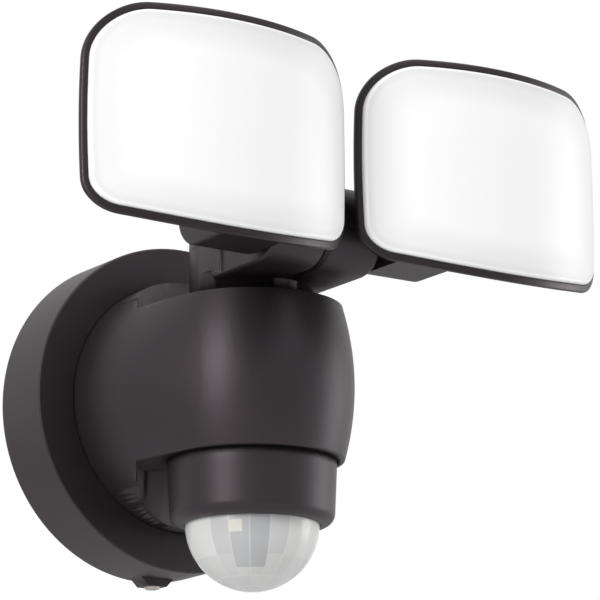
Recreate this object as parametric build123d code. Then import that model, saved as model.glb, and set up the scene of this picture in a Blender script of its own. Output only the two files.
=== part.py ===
from build123d import *
import math
import os

# Motion sensor security light for an outside wall: a round drum on the wall, a rounded body that blends
# into an upright barrel, a motion sensor turning under the barrel and a hub turning on top of it, which
# carries two light heads on tilting knuckles. Each head is bowed forward about an upright line.
# Units are millimetres. X runs right, Z up, and the wall is the plane Y = 0 with the light on its -Y side.
# "q" in the names below is the distance out from the wall, so q = -Y.

os.makedirs("parts", exist_ok=True)

# ---- driving dimensions -------------------------------------------------------------------------------
DRUM_R = 65.0            # round base on the wall
DRUM_DEPTH = 28.5
DRUM_WALL = 2.8
DRUM_FACE = 3.0
DRUM_OPENING_R = 35.0    # way through from the drum into the body

SEAM_R = 49.6            # where the body meets the drum
AXIS_REACH = 49.5        # from the drum's face to the upright axis of barrel, hub and sensor
AXIS_Q = DRUM_DEPTH + AXIS_REACH
BARREL_R = 39.3          # at mid height
BARREL_ARC = 107.0       # radius of the barrel's bulged side
BARREL_TOP = 30.3
BARREL_BOTTOM = -29.5
BARREL_TOP_ROUND = 3.4
BARREL_LOW_ROUND = 0.9
SHOULDER_Z = 36.0        # above and below this the shoulder is a plain round
POCKET_R = 44.0          # scoop that clears the hub and the sensor
BODY_WALL = 2.8
SEAT_DEPTH = 0.8         # body seats this deep in the drum's face

SPIGOT_R = 11.0          # hollow stems of hub and sensor
SPIGOT_BORE_R = 8.0
RUN = 0.05               # radial running clearance
GAP = 0.3                # gap left between faces that pass each other

HUB_R = 24.0             # collar, and half the width across the cheeks
HUB_BOTTOM = 37.0
HUB_TOP = 70.4
HUB_NOSE_R = 15.0
HUB_WALL = 3.0
HUB_GROOVE = 3.0
HUB_GROOVE_DEPTH = 4.5
NOTCH_TOP = 40.7         # collar stands free of the cheeks up to here
NOTCH_REACH = 9.0        # and out to here from the upright axis

HINGE_REACH = 40.0       # from the upright axis to the tilt axis
HINGE_Q = AXIS_Q + HINGE_REACH
HINGE_Z = 52.0
KNUCKLE_R = 12.2
KNUCKLE_SPACE = 2.0      # washer's room between hub and knuckle
KNUCKLE_L = 25.3
KNUCKLE_IN = HUB_R + KNUCKLE_SPACE
KNUCKLE_OUT = KNUCKLE_IN + KNUCKLE_L
TUBE_R = 5.0
TUBE_BORE_R = 3.5

PAN_REACH = 19.3         # from the tilt axis to the flat back of the head's pan
PAN_Q = HINGE_Q + PAN_REACH
HEAD_DEPTH = 24.7        # from there to the front of the rim, at the head's middle
HEAD_Q = PAN_Q + HEAD_DEPTH
HEAD_BEND = 105.0        # radius of the front's bow, about an upright line behind the head
HEAD_W = 115.3
HEAD_H = 82.8
HEAD_SPACE = 3.3         # between the two heads
HEAD_X = (HEAD_W + HEAD_SPACE) / 2
HEAD_RAISE = 21.0        # middle of a head above the tilt axis
HEAD_Z = HINGE_Z + HEAD_RAISE
HEAD_TOP_CORNER = 22.6
HEAD_LOW_CORNER = 13.3
HEAD_TOP_ARC = 3000.0    # the edges are bowed, the lower one most
HEAD_LOW_ARC = 250.0
HEAD_SIDE_ARC = 540.0
RIM_W = 3.1
RIM_DEPTH = 2.5          # depths are measured square to the bowed front
RIM_TAPER = 1.2
FLANGE_DEPTH = 3.1
FLANGE_T = 1.0
FLANGE_IN = 1.7          # how far the flange stays inside the rim's outline
PAN_IN = 8.0
PAN_WALL = 1.4
PAN_FLOOR = 1.5
LENS_RISE = 2.0          # diffuser proud of the rim
LENS_T = 2.2
LENS_ROUND = 1.8
FIN_HEIGHT = 8.8

RING_R = 32.2            # sensor collar
RING_LOW_R = 31.2
RING_BOTTOM = -54.0
RING_ROUND = 4.5
RING_LIP_R = 32.7        # recess in the barrel that the collar turns in
RECESS_DEPTH = 4.0
DOME_R = 25.5
DOME_Z = -53.5
DOME_SIDES = 20


# ---- helpers ------------------------------------------------------------------------------------------
def front_plane(q, x=0.0, z=0.0):
    """Upright plane facing away from the wall: local x is X and local y is Z."""
    return Plane(origin=(x, -q, z), x_dir=(1, 0, 0), z_dir=(0, -1, 0))


def side_plane(x=0.0):
    """Upright plane seen from the side: local x is q and local y is Z, facing -X."""
    return Plane(origin=(x, 0, 0), x_dir=(0, -1, 0), z_dir=(-1, 0, 0))


def rod_z(r, z0, z1, x=0.0, q=0.0):
    return Pos(x, -q, (z0 + z1) / 2) * Cylinder(r, abs(z1 - z0))


def rod_q(r, q0, q1, x=0.0, z=0.0):
    return Pos(x, -(q0 + q1) / 2, z) * Rot(90, 0, 0) * Cylinder(r, abs(q1 - q0))


def rod_x(r, x0, x1, q, z):
    return Pos((x0 + x1) / 2, -q, z) * Rot(0, 90, 0) * Cylinder(r, abs(x1 - x0))


def block(x0, x1, q0, q1, z0, z1):
    return Pos((x0 + x1) / 2, -(q0 + q1) / 2, (z0 + z1) / 2) * Box(x1 - x0, q1 - q0, z1 - z0)


def slot_q(q0, q1, x, z, length, r):
    """Rounded slot along X, cut through from q0 to q1."""
    flat = front_plane(q0, x, z) * SlotOverall(length, 2 * r)
    return extrude(flat, q1 - q0)


def cross_recess(r, depth):
    """Cross-head driver recess, opening at local z = 0 and running down."""
    arm = Pos(0, 0, -depth / 2) * Box(1.2 * r, 0.28 * r, depth)
    return arm + Rot(0, 0, 90) * arm


def pan_screw(r, length, head_r, head_h):
    """Pan-head cross-recess screw standing on local z = 0 under its head, shank down -z."""
    head = extrude(Circle(head_r), head_h)
    head = fillet(head.edges().group_by(Axis.Z)[-1], 0.45 * head_h)
    body = head + Pos(0, 0, -length / 2) * Cylinder(r, length)
    return body - Pos(0, 0, head_h) * cross_recess(head_r, 0.7 * head_h)


def ring_about_axis(profile):
    """Turned part about the upright axis from (radius, z) points."""
    flat = make_face(Polyline(*[(r, z) for r, z in profile], close=True))
    return Pos(0, -AXIS_Q, 0) * revolve(Plane.XZ * flat, Axis.Z)


def both_sides(part):
    return part + mirror(part, about=Plane.YZ)


def save(part, name):
    part.label = name
    export_step(part, "parts/" + name + ".step")


# ---- wall bracket: pressed plate with wall slots, a top hook and a bottom clamp tab ----------------------
BRACKET_R = 50.0
BRACKET_T = 1.6
STRIP_W = 18.0
HOOK_Z = 55.9
TAB_Z = -59.5
WALL_SLOT_X = 35.0
WALL_SLOT_L = 14.0
WALL_SLOT_R = 2.5
BOX_SLOT_X = 22.0
BOX_SLOT_Z = 36.0
INLET_Z = -22.0
INLET_R = 8.5
EARTH_Z = 24.0
CLAMP_Q = 6.5

bracket = rod_q(BRACKET_R, 0, BRACKET_T)
bracket += block(-STRIP_W / 2, STRIP_W / 2, 0, BRACKET_T, TAB_Z, HOOK_Z + BRACKET_T)
bracket += block(-STRIP_W / 2, STRIP_W / 2, 0, 11.0, TAB_Z, TAB_Z + BRACKET_T)
bracket += block(-7.5, 7.5, 0, 7.9, HOOK_Z, HOOK_Z + BRACKET_T)
bracket += block(-7.5, 7.5, 6.3, 7.9, HOOK_Z, HOOK_Z + 5.1)
for side in (-1, 1):
    bracket -= slot_q(-1, 3, side * WALL_SLOT_X, 0, WALL_SLOT_L, WALL_SLOT_R)
    for level in (-1, 1):
        bracket -= slot_q(-1, 3, side * BOX_SLOT_X, level * BOX_SLOT_Z, WALL_SLOT_L, WALL_SLOT_R)
bracket -= rod_q(INLET_R, -1, 3, 0, INLET_Z)
bracket -= rod_q(2.0, -1, 3, 0, EARTH_Z)
bracket -= rod_z(2.05, TAB_Z - 1, TAB_Z + 3, 0, CLAMP_Q)
save(bracket, "wall_bracket")

earth_screw = front_plane(BRACKET_T, 0, EARTH_Z) * pan_screw(1.95, 1.6, 3.6, 2.2)
save(earth_screw, "earth_screw")

# Rubber grommet clipped in the bracket's inlet: the supply cable comes through it.
GROMMET_BORE_R = 4.5
GROMMET_GROOVE_R = 8.4
grommet_profile = [(GROMMET_BORE_R, 0.05), (GROMMET_GROOVE_R, 0.05), (GROMMET_GROOVE_R, BRACKET_T + 0.05)]
grommet_profile += [(10.6, BRACKET_T + 0.05), (10.6, 3.2), (8.0, 5.4), (GROMMET_BORE_R, 5.4)]
grommet_face = make_face(Polyline(*grommet_profile, close=True))
grommet = front_plane(0, 0, INLET_Z) * revolve(Plane.XZ * grommet_face, Axis.Z)
save(grommet, "cable_grommet")

# ---- base drum ------------------------------------------------------------------------------------------
DRUM_REAR = 0.2
FACE_BACK = DRUM_DEPTH - DRUM_FACE
GROOVE_IN = 63.0
GROOVE_OUT = 64.2
GROOVE_END = 2.2
BODY_SCREW_R = 41.0
BODY_SCREW_ANGLES = (45, 135, 225, 315)
PAD_W = 8.6
PAD_Q = 10.5
PAD_BOTTOM = -67.7

drum = rod_q(DRUM_R, DRUM_REAR, DRUM_DEPTH)
drum = fillet(drum.edges().group_by(Axis.Y)[0], 0.7)
drum -= rod_q(DRUM_R - DRUM_WALL, DRUM_REAR - 1, FACE_BACK)
drum -= rod_q(GROOVE_OUT, DRUM_REAR - 1, GROOVE_END) - rod_q(GROOVE_IN, DRUM_REAR - 1, GROOVE_END)
drum -= rod_q(SEAM_R + GAP, DRUM_DEPTH - SEAT_DEPTH, DRUM_DEPTH + 1)

# Clamp-screw pad under the drum, with flared flanks.
pad_flat = make_face(Polyline((-8.0, -64.0), (-PAD_W / 2, PAD_BOTTOM), (PAD_W / 2, PAD_BOTTOM), (8.0, -64.0), close=True))
pad = extrude(front_plane(2.4) * pad_flat, PAD_Q - 2.4)
pad += block(-6.5, 6.5, 2.4, PAD_Q, -64.5, -60.2)
drum += pad
drum -= rod_z(2.25, -70, -55, 0, CLAMP_Q)
drum -= rod_z(3.45, -70, PAD_BOTTOM + 1.2, 0, CLAMP_Q)

# Ledge at the top that hangs on the bracket's hook.
drum += block(-12.0, 12.0, 2.6, 5.9, HOOK_Z + BRACKET_T + RUN, 62.6)

# Stiffening ribs behind the face, and a ring round the way through.
drum += rod_q(DRUM_OPENING_R + 2.0, FACE_BACK - 4.5, FACE_BACK) - rod_q(DRUM_OPENING_R, FACE_BACK - 6, DRUM_DEPTH)
for k in range(12):
    rib = block(DRUM_OPENING_R + 1.0, DRUM_R - 1.5, FACE_BACK - 5.0, FACE_BACK, -0.8, 0.8)
    drum += Rot(0, 30 * k, 0) * rib
drum -= rod_q(DRUM_OPENING_R, FACE_BACK - 6, DRUM_DEPTH + 1)

# Seats for the four screws that hold the body.
SCREW_SEAT = 3.0
for angle in BODY_SCREW_ANGLES:
    sx = BODY_SCREW_R * math.cos(math.radians(angle))
    sz = BODY_SCREW_R * math.sin(math.radians(angle))
    drum += rod_q(5.0, FACE_BACK - SCREW_SEAT, FACE_BACK, sx, sz)
    drum -= rod_q(1.9, FACE_BACK - 6, DRUM_DEPTH + 1, sx, sz)

# Two posts for the terminal block.
TERMINAL_Z = -47.0
TERMINAL_POST_X = 10.0
POST_L = 9.5
for side in (-1, 1):
    drum += rod_q(2.6, FACE_BACK - POST_L, FACE_BACK, side * TERMINAL_POST_X, TERMINAL_Z)
    drum -= rod_q(1.2, FACE_BACK - POST_L - 1, FACE_BACK - 1.5, side * TERMINAL_POST_X, TERMINAL_Z)
save(drum, "base_drum")

gasket = rod_q(GROOVE_OUT - RUN, 0, GROOVE_END - RUN) - rod_q(GROOVE_IN + RUN, -1, GROOVE_END)
save(gasket, "base_gasket")

clamp_screw = Pos(0, -CLAMP_Q, PAD_BOTTOM + 1.2) * Rot(180, 0, 0) * pan_screw(2.0, 10.5, 3.15, 2.2)
save(clamp_screw, "clamp_screw")

# ---- terminal block and its screws ------------------------------------------------------------------------
TERMINAL_FRONT = FACE_BACK - POST_L - RUN
TERMINAL_BACK = TERMINAL_FRONT - 9.95
terminal = block(-17.0, 17.0, TERMINAL_BACK, TERMINAL_FRONT, TERMINAL_Z - 6.5, TERMINAL_Z + 6.5)
for k in (-1, 0, 1):
    for gap_x in (11 * k - 5.6, 11 * k + 5.0):
        terminal -= block(gap_x, gap_x + 0.6, TERMINAL_BACK - 1, TERMINAL_BACK + 4, TERMINAL_Z - 8, TERMINAL_Z + 8)
    terminal -= rod_z(1.9, TERMINAL_Z - 8, TERMINAL_Z + 8, 11 * k, TERMINAL_BACK + 6.2)
    for zs in (-1, 1):
        terminal -= rod_q(1.75, TERMINAL_BACK - 1, TERMINAL_BACK + 5, 11 * k, TERMINAL_Z + 3.6 * zs)
for side in (-1, 1):
    terminal -= rod_q(1.3, TERMINAL_BACK - 1, TERMINAL_FRONT + 1, side * 5.3, TERMINAL_Z)
save(terminal, "terminal_block")

terminal_screw = Rot(-90, 0, 0) * (Cylinder(1.6, 3.6) - Pos(0, 0, 1.6) * Box(4, 0.6, 0.8))
terminal_places = [(11 * k, TERMINAL_Z + 3.6 * zs) for k in (-1, 0, 1) for zs in (-1, 1)]
terminal_screws = [Pos(x, -TERMINAL_BACK - 2.6, z) * terminal_screw for x, z in terminal_places]
save(Compound(children=terminal_screws), "terminal_screws")


# ---- body housing: level sections from the round seam to the barrel, lofted -------------------------------
def level_section(z, inset, q_back):
    """Outline of the body at height z: a round front on the upright axis, and flanks that run tangent
    from it back to the seam's half width. inset thins it all round for the inner skin."""
    seam = SEAM_R - inset
    half = math.sqrt(seam ** 2 - z ** 2)
    nose = BARREL_R - z ** 2 / (2 * BARREL_ARC) - inset
    run = AXIS_Q - q_back
    flank_r = run ** 2 / (2 * (half - nose)) + (half + nose) / 2
    span = math.hypot(flank_r - half, run)
    tx = nose * (flank_r - half) / span
    tq = AXIS_Q + nose * run / span
    angle = math.asin((tq - q_back) / flank_r) / 2
    mx = half - flank_r + flank_r * math.cos(angle)
    mq = q_back + flank_r * math.sin(angle)
    right = ThreePointArc((half, -q_back), (mx, -mq), (tx, -tq))
    front = ThreePointArc((tx, -tq), (0, -AXIS_Q - nose), (-tx, -tq))
    left = ThreePointArc((-tx, -tq), (-mx, -mq), (-half, -q_back))
    back = Line((-half, -q_back), (half, -q_back))
    return Plane.XY.offset(z) * make_face([right, front, left, back])


BODY_BACK = DRUM_DEPTH - SEAT_DEPTH + RUN
LEVELS = (-36, -27, -18, -9, 0, 9, 18, 27, 36)
body = loft([level_section(z, 0.0, BODY_BACK) for z in LEVELS])
REACH = AXIS_Q - POCKET_R
shoulder = rod_q(SEAM_R, BODY_BACK, REACH + 22.0)
shoulder -= block(-SEAM_R - 10, SEAM_R + 10, 20, AXIS_Q, -SHOULDER_Z, SHOULDER_Z)
body += shoulder

# Scooped pockets round the hub above and the sensor below.
body -= rod_z(POCKET_R, BARREL_TOP, SEAM_R + 10, 0, AXIS_Q)
body -= rod_z(POCKET_R, -SEAM_R - 10, BARREL_BOTTOM, 0, AXIS_Q)
low_face, top_face = body.faces().filter_by(Axis.Z).sort_by(SortBy.AREA)[-2:].sort_by(Axis.Z)
body = fillet([e for e in top_face.edges() if e.center().Y < 16 - AXIS_Q], BARREL_TOP_ROUND)
body = fillet([e for e in low_face.edges() if e.center().Y < 16 - AXIS_Q], BARREL_LOW_ROUND)

# Hollow inside: barrel room, then the room behind the pockets' walls.
ROOM_TOP = BARREL_TOP - 3.0
PLATE_BOTTOM = BARREL_BOTTOM + RECESS_DEPTH
ROOM_BOTTOM = PLATE_BOTTOM + 3.0
room = loft([level_section(z, BODY_WALL, BODY_BACK) for z in (-28, -18, -9, 0, 9, 18, 28)])
room = room & block(-SEAM_R, SEAM_R, BODY_BACK - 1, AXIS_Q + 60, ROOM_BOTTOM, ROOM_TOP)
rear_room = rod_q(SEAM_R - BODY_WALL, BODY_BACK, REACH)
rear_room -= rod_z(POCKET_R + BODY_WALL, ROOM_TOP, SEAM_R + 10, 0, AXIS_Q)
rear_room -= rod_z(POCKET_R + BODY_WALL, -SEAM_R - 10, ROOM_BOTTOM, 0, AXIS_Q)
body -= room
body -= rear_room
body -= rod_z(RING_LIP_R, BARREL_BOTTOM - 1, PLATE_BOTTOM, 0, AXIS_Q)
body -= rod_z(SPIGOT_R + RUN, ROOM_TOP - 1, BARREL_TOP + 1, 0, AXIS_Q)
body -= rod_z(SPIGOT_R + RUN, PLATE_BOTTOM - 1, ROOM_BOTTOM + 1, 0, AXIS_Q)

# Bosses for the four screws from the drum, and posts for the driver board.
BOSS_L = 14.25
BOSS_END = BODY_BACK + BOSS_L
for angle in BODY_SCREW_ANGLES:
    sx = BODY_SCREW_R * math.cos(math.radians(angle))
    sz = BODY_SCREW_R * math.sin(math.radians(angle))
    body += rod_q(4.6, BODY_BACK, BOSS_END, sx, sz)
    body -= rod_q(1.65, BODY_BACK - 1, BOSS_END - 2, sx, sz)
BOARD_Z = -9.0
BOARD_T = 1.6
BOARD_POSTS = [(-25.0, AXIS_Q - 22), (25.0, AXIS_Q - 22), (-22.0, AXIS_Q + 22), (22.0, AXIS_Q + 22)]
for px, pq in BOARD_POSTS:
    body += rod_z(3.2, ROOM_BOTTOM - 0.5, BOARD_Z, px, pq)
    body -= rod_z(1.25, ROOM_BOTTOM + 2, BOARD_Z + 1, px, pq)
save(body, "body_housing")

# Screws from the drum into the body, one group.
body_screws = []
for angle in BODY_SCREW_ANGLES:
    sx = BODY_SCREW_R * math.cos(math.radians(angle))
    sz = BODY_SCREW_R * math.sin(math.radians(angle))
    seat = Plane(origin=(sx, SCREW_SEAT + RUN - FACE_BACK, sz), x_dir=(1, 0, 0), z_dir=(0, 1, 0))
    body_screws.append(seat * pan_screw(1.6, 15.0, 3.3, 2.4))
save(Compound(children=body_screws), "body_screws")

# Flat seal between the drum's face and the body's rim.
seal = rod_q(DRUM_OPENING_R - GAP, FACE_BACK + 0.4, BODY_BACK + 2.0)
seal -= rod_q(DRUM_OPENING_R - 2.4, FACE_BACK, BODY_BACK + 3)
save(seal, "body_seal")

# ---- driver board and its parts -----------------------------------------------------------------------------
board = block(-29.0, 29.0, AXIS_Q - 28, AXIS_Q + 28, BOARD_Z + RUN, BOARD_Z + RUN + BOARD_T)
for side in (-1, 1):
    corner = make_face(Polyline((side * 29.5, -AXIS_Q - 14), (side * 29.5, -AXIS_Q - 29), (side * 16.0, -AXIS_Q - 29), close=True))
    board -= extrude(Plane.XY.offset(BOARD_Z - 1) * corner, 4)
for px, pq in BOARD_POSTS:
    board -= rod_z(1.6, BOARD_Z - 1, BOARD_Z + 3, px, pq)
save(board, "driver_board")

BOARD_TOP = BOARD_Z + RUN + BOARD_T
board_screws = [Pos(px, -pq, BOARD_TOP) * pan_screw(1.2, 7.0, 2.5, 1.6) for px, pq in BOARD_POSTS]
save(Compound(children=board_screws), "board_screws")

core = block(-10.0, 10.0, AXIS_Q - 12, AXIS_Q + 6, BOARD_TOP, BOARD_TOP + 15.0)
winding = block(-7.0, 7.0, AXIS_Q - 15, AXIS_Q + 9, BOARD_TOP + 3.0, BOARD_TOP + 12.0)
winding = fillet(winding.edges().filter_by(Axis.Z), 3.0)
save(core + winding, "driver_transformer")

can = Cylinder(5.0, 16.0)
can = fillet(can.edges().group_by(Axis.Z)[-1], 0.8)
capacitor_places = [(-20.0, AXIS_Q - 10), (-20.0, AXIS_Q + 4), (19.0, AXIS_Q + 12)]
capacitors = [Pos(x, -q, BOARD_TOP + 8.0) * can for x, q in capacitor_places]
save(Compound(children=capacitors), "driver_capacitors")

relay = block(13.5, 24.5, AXIS_Q - 16, AXIS_Q + 3, BOARD_TOP, BOARD_TOP + 14.0)
relay = chamfer(relay.edges().group_by(Axis.Z)[-1], 0.6)
save(relay, "driver_relay")

# ---- hub: U-shaped in plan, round collar behind, nose round the tilt axis in front -------------------------
def hub_plan(inset, z0, z1):
    r = HUB_R - inset
    q_front = HINGE_Q + 2 * HUB_NOSE_R
    collar = Pos(0, -AXIS_Q) * Circle(r)
    cheeks = Pos(0, -(AXIS_Q + q_front) / 2) * Rectangle(2 * r, q_front - AXIS_Q)
    return extrude(Plane.XY.offset(z0) * (collar + cheeks), z1 - z0)


def hub_side(inset):
    """Side outline: flat underside, nose rounded about the tilt axis, flat top."""
    r = HUB_NOSE_R - inset
    low = HUB_BOTTOM + inset
    high = HUB_TOP - inset
    q0 = AXIS_Q - HUB_R - 14
    nose = HINGE_Q + r
    d = r * math.sqrt(0.5)
    under = Line((q0, low), (HINGE_Q, low))
    lower = ThreePointArc((HINGE_Q, low), (HINGE_Q + d, HINGE_Z - d), (nose, HINGE_Z))
    front = Line((nose, HINGE_Z), (nose, high - r))
    upper = ThreePointArc((nose, high - r), (HINGE_Q + d, high - r + d), (HINGE_Q, high))
    top = Line((HINGE_Q, high), (q0, high))
    back = Line((q0, high), (q0, low))
    return side_plane() * make_face([under, lower, front, upper, top, back])


def hub_solid(inset):
    return hub_plan(inset, HUB_BOTTOM, HUB_TOP) & extrude(hub_side(inset), HUB_R + 1, both=True)


hub = hub_solid(0.0)
hub = fillet(hub.edges().group_by(Axis.Z)[-1], 2.0)
COLLAR_LOW = BARREL_TOP + GAP
hub -= block(-HUB_R - 6, HUB_R + 6, AXIS_Q - HUB_R - 4, AXIS_Q + NOTCH_REACH, HUB_BOTTOM - 1, NOTCH_TOP)
hub += rod_z(HUB_R, COLLAR_LOW, NOTCH_TOP, 0, AXIS_Q)

# Hollow for the wiring, left solid in the middle of the nose where the groove runs.
NOSE_Q = HINGE_Q - 14.0
NOSE_END = HINGE_Q + 2 * HUB_NOSE_R
hub_room = hub_solid(HUB_WALL) - block(-HUB_GROOVE - 2, HUB_GROOVE + 2, NOSE_Q, NOSE_END, 20, 90)
hub -= hub_room
hub -= rod_z(HUB_R - HUB_WALL, COLLAR_LOW + 3.0, HUB_TOP - HUB_WALL, 0, AXIS_Q)
groove = extrude(hub_side(-1.0), HUB_GROOVE / 2, both=True) - extrude(hub_side(HUB_GROOVE_DEPTH), 10, both=True)
groove = groove & block(-10, 10, NOSE_Q, NOSE_END, 20, 90)
hub -= groove

# Cheek panels: shallow recess with a rim that follows the nose.
PANEL_DEPTH = 1.0
PANEL_RIM = 1.4
PANEL_Q = HINGE_Q - 26.0
panel = extrude(hub_side(PANEL_RIM), 40, both=True) & block(-40, 40, PANEL_Q, NOSE_END, 20, 90)
panel -= block(-HUB_R + PANEL_DEPTH, HUB_R - PANEL_DEPTH, PANEL_Q - 9, NOSE_END, 20, 90)
hub -= panel

# Half-round seats for the two hinge tubes.
for side in (-1, 1):
    hub -= rod_x(TUBE_R + 0.02, side * (HUB_R - 14), side * (HUB_R + 6), HINGE_Q, HINGE_Z)

PARTING = HINGE_Z
SCREW_IN = 5.5           # hub screws' bosses stand this far inside its outline
HUB_SCREWS = [(0.0, AXIS_Q - HUB_R + SCREW_IN)]
HUB_SCREWS += [(side * (HUB_R - SCREW_IN - 3.0), AXIS_Q + 18) for side in (-1, 1)]
lower = hub & block(-60, 60, AXIS_Q - 38, NOSE_END, 20, PARTING - 0.06)
upper = hub & block(-60, 60, AXIS_Q - 38, NOSE_END, PARTING + 0.06, 90)
lower += rod_z(SPIGOT_R, 20.5, COLLAR_LOW + 1.0, 0, AXIS_Q)
lower -= rod_z(SPIGOT_BORE_R, 10, COLLAR_LOW + 4.0, 0, AXIS_Q)
for hx, hq in HUB_SCREWS:
    lower += rod_z(3.4, HUB_BOTTOM + 1, PARTING - 0.06, hx, hq)
    lower -= rod_z(1.3, NOTCH_TOP, 60, hx, hq)
    upper += rod_z(3.4, PARTING + 0.06, HUB_TOP - 1, hx, hq)
    upper -= rod_z(1.7, 50, 90, hx, hq)
    upper -= rod_z(3.1, HUB_TOP - 2.2, 90, hx, hq)
save(lower, "hub_base")
save(upper, "hub_cover")

hub_screws = [Pos(hx, -hq, HUB_TOP - 2.2) * pan_screw(1.25, 24.0, 2.9, 1.8) for hx, hq in HUB_SCREWS]
save(Compound(children=hub_screws), "hub_screws")

# Nut and slip ring that hold the hub's stem under the barrel's top plate.
slip_top = ROOM_TOP - RUN
slip = rod_z(17.5, slip_top - 1.5, slip_top, 0, AXIS_Q) - rod_z(SPIGOT_R + RUN, 10, 40, 0, AXIS_Q)
save(slip, "hub_slip_ring")
NUT_TOP = slip_top - 1.55
nut = extrude(Plane.XY.offset(NUT_TOP - 4.5) * Pos(0, -AXIS_Q) * RegularPolygon(16.5, 8), 4.5)
nut -= rod_z(SPIGOT_R + 0.02, 10, 40, 0, AXIS_Q)
save(nut, "hub_nut")

# Hinge tubes: threaded tubes clamped in the hub, which the wires pass through and the heads turn on.
TUBE_IN = HUB_R - 11.0
TUBE_OUT = KNUCKLE_IN + 10.0
tube = rod_x(TUBE_R, TUBE_IN, TUBE_OUT, HINGE_Q, HINGE_Z)
tube -= rod_x(TUBE_BORE_R, TUBE_IN - 1, TUBE_OUT + 1, HINGE_Q, HINGE_Z)
save(both_sides(tube), "hinge_tubes")


def hex_nut(x0, x1, flats):
    flat = Plane(origin=(x0, -HINGE_Q, HINGE_Z), x_dir=(0, -1, 0), z_dir=(1, 0, 0)) * RegularPolygon(flats / math.sqrt(3), 6)
    return extrude(flat, x1 - x0) - rod_x(TUBE_R + 0.02, x0 - 1, x1 + 1, HINGE_Q, HINGE_Z)


save(both_sides(hex_nut(HUB_R - HUB_WALL - 4.1, HUB_R - HUB_WALL - 0.1, 15.0)), "hinge_inner_nuts")
save(both_sides(hex_nut(KNUCKLE_IN + 4.8, KNUCKLE_IN + 8.8, 13.0)), "hinge_outer_nuts")
washer_in = HUB_R - PANEL_DEPTH + RUN
hinge_washer = rod_x(10.0, washer_in, KNUCKLE_IN - RUN, HINGE_Q, HINGE_Z)
hinge_washer -= rod_x(TUBE_R + 0.02, washer_in - 1, KNUCKLE_IN + 1, HINGE_Q, HINGE_Z)
save(both_sides(hinge_washer), "hinge_washers")
spring_washer = rod_x(7.6, KNUCKLE_IN + 3.6, KNUCKLE_IN + 4.7, HINGE_Q, HINGE_Z)
spring_washer -= rod_x(TUBE_R + 0.02, KNUCKLE_IN, KNUCKLE_IN + 6, HINGE_Q, HINGE_Z)
save(both_sides(spring_washer), "spring_washers")


# ---- light heads ----------------------------------------------------------------------------------------
def head_outline(inset):
    """Front outline of a head: large upper corners, small lower ones, all four edges slightly bowed."""
    w = HEAD_W / 2 - inset
    h = HEAD_H / 2 - inset
    top_r = HEAD_TOP_ARC - inset
    low_r = HEAD_LOW_ARC - inset
    side_r = HEAD_SIDE_ARC - inset
    flat = Pos(0, h - top_r) * Circle(top_r) & Pos(0, low_r - h) * Circle(low_r)
    flat = flat & Pos(w - side_r, 0) * Circle(side_r) & Pos(side_r - w, 0) * Circle(side_r)
    flat = fillet([v for v in flat.vertices() if v.Y > h / 2], HEAD_TOP_CORNER - inset)
    return fillet([v for v in flat.vertices() if v.Y < -h / 2 and abs(v.X) > w / 2], HEAD_LOW_CORNER - inset)


def head_prism(q0, q1, inset):
    """Straight prism of the head's outline from q0 to q1."""
    return extrude(front_plane(q0, HEAD_X, HEAD_Z) * head_outline(inset), q1 - q0)


def bow(depth):
    """Upright round that stays depth behind the rim's bowed front."""
    return rod_z(HEAD_BEND - depth, HEAD_Z - HEAD_H, HEAD_Z + HEAD_H, HEAD_X, HEAD_Q - HEAD_BEND)


def bowed_slab(depth0, depth1, inset):
    """Bowed slab of the head's outline between two depths behind the rim's front."""
    return head_prism(HEAD_Q - HEAD_BEND / 2, HEAD_Q + 10, inset) & bow(depth0) - bow(depth1)


def rear_loop(slab, depth):
    """Edges round the back of a bowed slab, which lie on the round at that depth."""
    r = HEAD_BEND - depth
    near = []
    for edge in slab.edges():
        reach = [math.hypot(p.X - HEAD_X, p.Y + HEAD_Q - HEAD_BEND) for p in (edge @ 0, edge @ 0.5, edge @ 1)]
        if max(abs(value - r) for value in reach) < 0.01:
            near.append(edge)
    return near


bezel = bowed_slab(0, RIM_DEPTH, 0)
bezel = chamfer(rear_loop(bezel, RIM_DEPTH), RIM_TAPER)
bezel -= head_prism(PAN_Q, HEAD_Q + 10, RIM_W)
bezel -= bowed_slab(RIM_DEPTH - 1.2, RIM_DEPTH + 1, 2.2)

# Diffuser: a bowed opal cover with a rounded front edge and a thin flange behind the rim.
bulge = bowed_slab(-LENS_RISE, RIM_DEPTH - 0.6, RIM_W + 0.15)
bulge = fillet(rear_loop(bulge, -LENS_RISE), LENS_ROUND)
lens = bulge + bowed_slab(RIM_DEPTH - 1.15, RIM_DEPTH, 2.35)
lens -= bowed_slab(LENS_T - LENS_RISE, RIM_DEPTH + 1, RIM_W + LENS_T)

gasket = bowed_slab(RIM_DEPTH + 0.05, FLANGE_DEPTH - 0.05, 2.6) - head_prism(PAN_Q, HEAD_Q + 10, 4.4)

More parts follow.
